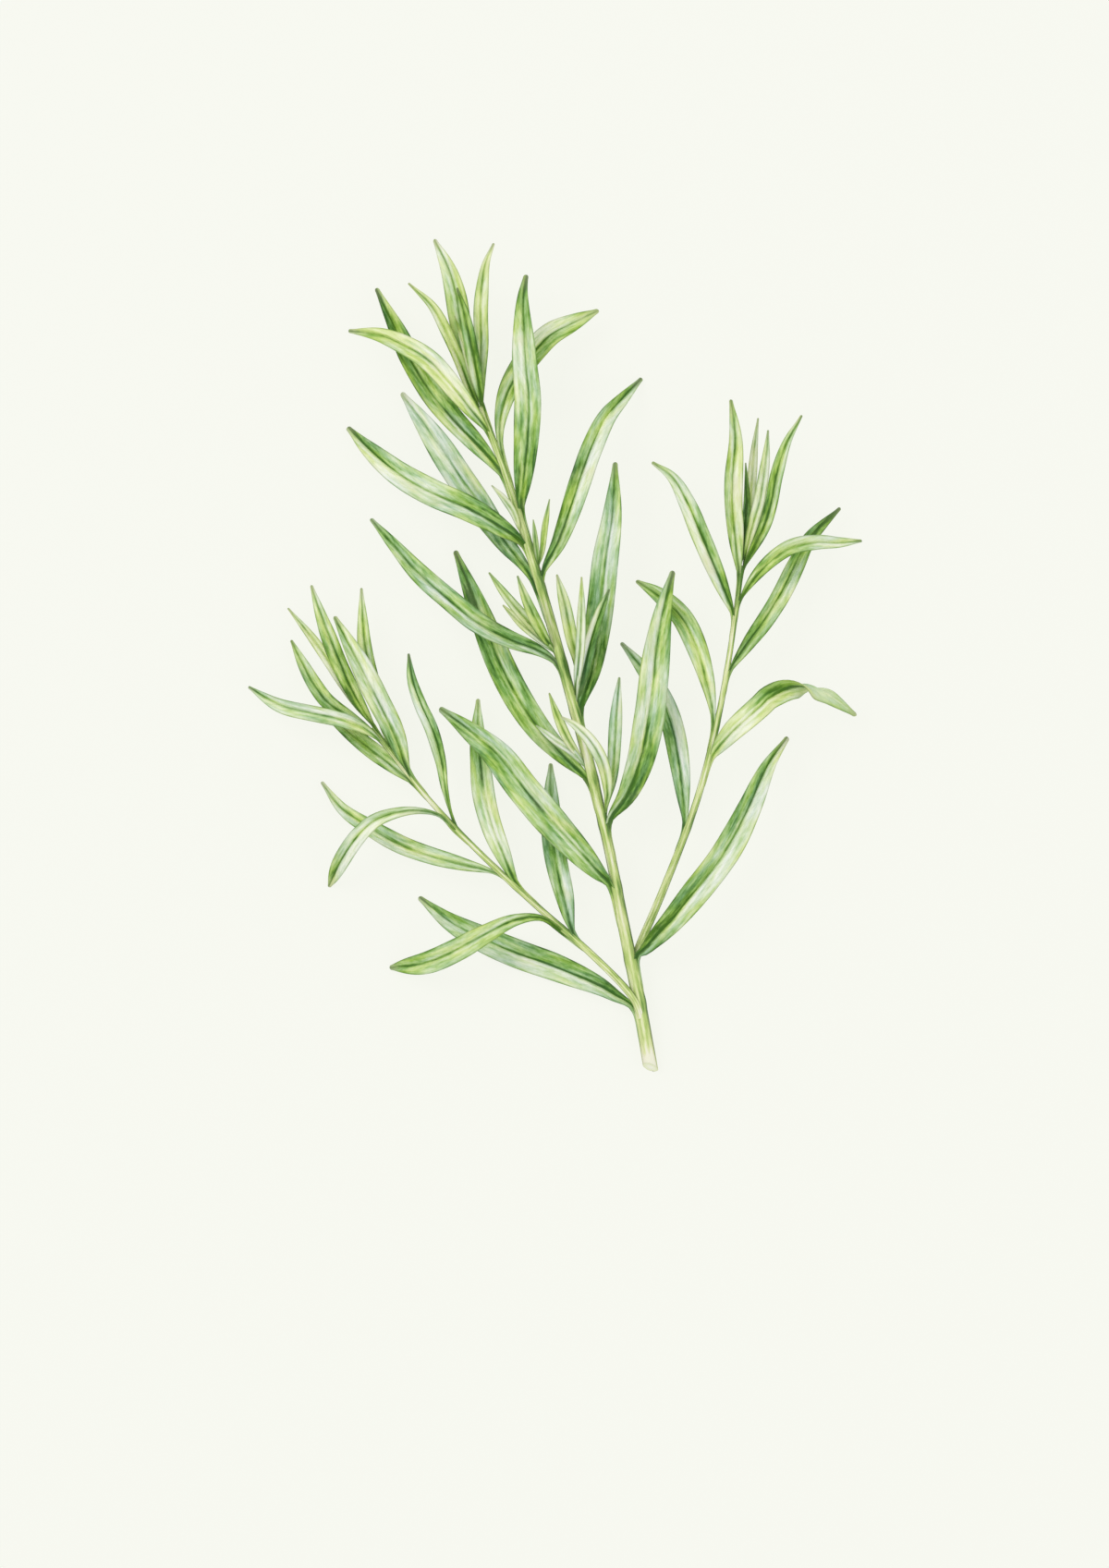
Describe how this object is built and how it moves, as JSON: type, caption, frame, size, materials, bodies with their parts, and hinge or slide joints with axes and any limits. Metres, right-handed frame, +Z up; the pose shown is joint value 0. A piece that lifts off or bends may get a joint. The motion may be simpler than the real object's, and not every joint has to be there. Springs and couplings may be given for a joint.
{
  "type": "tarragon sprig",
  "caption": "Cut sprig of tarragon lying on its side: a slender branching stem with long narrow pointed leaves and tufts of young leaves in the axils and at the tips.",
  "frame": {"origin": "on the surface that the sprig lies on, in the middle of the ground that it covers", "axes": "+Y from the cut foot of the stem to its tip, +Z up from the surface, +X to the right of the stem as seen from above"},
  "size_m": [0.1599, 0.2179, 0.0251],
  "materials": {
    "tarragon_green": "satin leaf, green with a paler half along the midrib",
    "young_green": "satin young leaf, yellow-green"
  },
  "bodies": {
    "root": {"main_shoot": "tarragon_green", "left_side_shoot": "young_green", "right_side_shoot": "young_green"}
  },
  "joints": []
}
